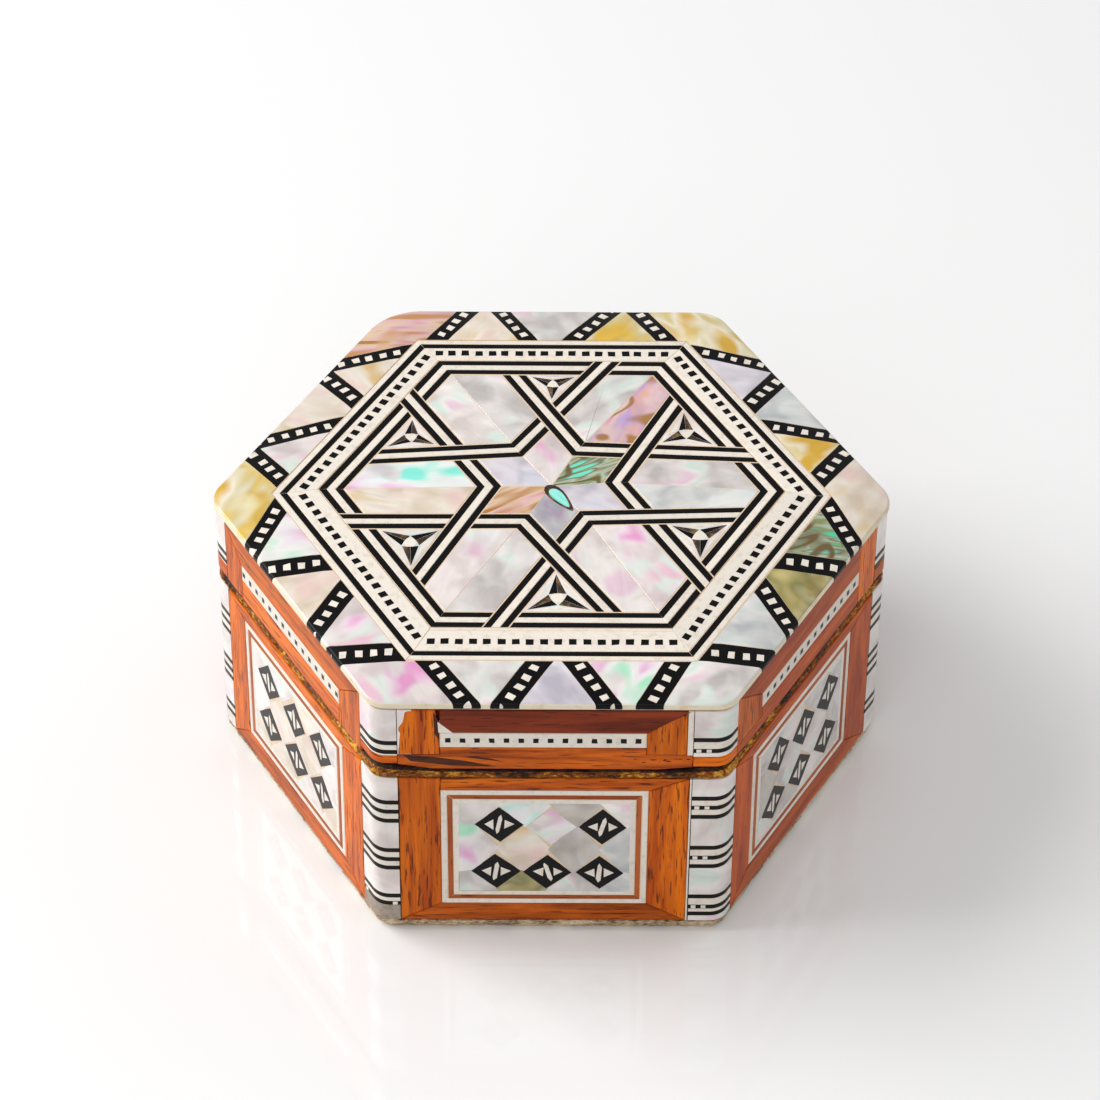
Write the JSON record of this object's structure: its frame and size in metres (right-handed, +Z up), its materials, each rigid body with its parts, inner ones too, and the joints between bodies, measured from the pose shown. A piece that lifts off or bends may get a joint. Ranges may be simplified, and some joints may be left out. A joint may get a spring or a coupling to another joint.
{
  "type": "inlaid hexagonal box",
  "caption": "Hexagonal wooden trinket box faced with mother-of-pearl, bone and black inlay, hollow, with a loose lid that lifts off.",
  "frame": {"origin": "centre of the underside of the bottom board, on the surface the box stands on", "axes": "+Z up; +X through the right-hand corner of the hexagon, with the front side facing -Y"},
  "size_m": [0.1016, 0.089, 0.0487],
  "materials": {
    "varnished_wood": "varnished, satin",
    "raw_wood": "rough, thinly varnished",
    "pearl": "polished shell, iridescent",
    "bone": "polished bone with black squares",
    "black_inlay": "black-stained wood with white lines, polished"
  },
  "bodies": {
    "root": {"base_carcass": "raw_wood", "bottom_board": "raw_wood", "lid_carcass": "varnished_wood", "base_frame_right_back": "varnished_wood", "base_panel_right_back": "pearl", "lid_frame_right_back": "varnished_wood", "lid_dot_strip_right_back": "bone", "top_border_right_back": "pearl", "top_triangle_right_back": "bone", "base_frame_back": "varnished_wood", "base_panel_back": "pearl", "lid_frame_back": "varnished_wood", "lid_dot_strip_back": "bone", "top_border_back": "pearl", "top_triangle_back": "bone", "base_frame_left_back": "varnished_wood", "base_panel_left_back": "pearl", "lid_frame_left_back": "varnished_wood", "lid_dot_strip_left_back": "bone", "top_border_left_back": "pearl", "top_triangle_left_back": "bone", "base_frame_left_front": "varnished_wood", "base_panel_left_front": "pearl", "lid_frame_left_front": "varnished_wood", "lid_dot_strip_left_front": "bone", "top_border_left_front": "pearl", "top_triangle_left_front": "bone", "base_frame_front": "varnished_wood", "base_panel_front": "pearl", "lid_frame_front": "varnished_wood", "lid_dot_strip_front": "bone", "top_border_front": "pearl", "top_triangle_front": "bone", "base_frame_right_front": "varnished_wood", "base_panel_right_front": "pearl", "lid_frame_right_front": "varnished_wood", "lid_dot_strip_right_front": "bone", "top_border_right_front": "pearl", "top_triangle_right_front": "bone", "base_corner_right": "pearl", "lid_corner_right": "pearl", "top_cell_right": "pearl", "base_corner_back_right": "pearl", "lid_corner_back_right": "pearl", "top_cell_back_right": "pearl", "base_corner_back_left": "pearl", "lid_corner_back_left": "pearl", "top_cell_back_left": "pearl", "base_corner_left": "pearl", "lid_corner_left": "pearl", "top_cell_left": "pearl", "base_corner_front_left": "pearl", "lid_corner_front_left": "pearl", "top_cell_front_left": "pearl", "base_corner_front_right": "pearl", "lid_corner_front_right": "pearl", "top_cell_front_right": "pearl", "top_dotted_frame": "bone", "top_star_bands": "black_inlay", "top_star": "pearl"}
  },
  "joints": []
}
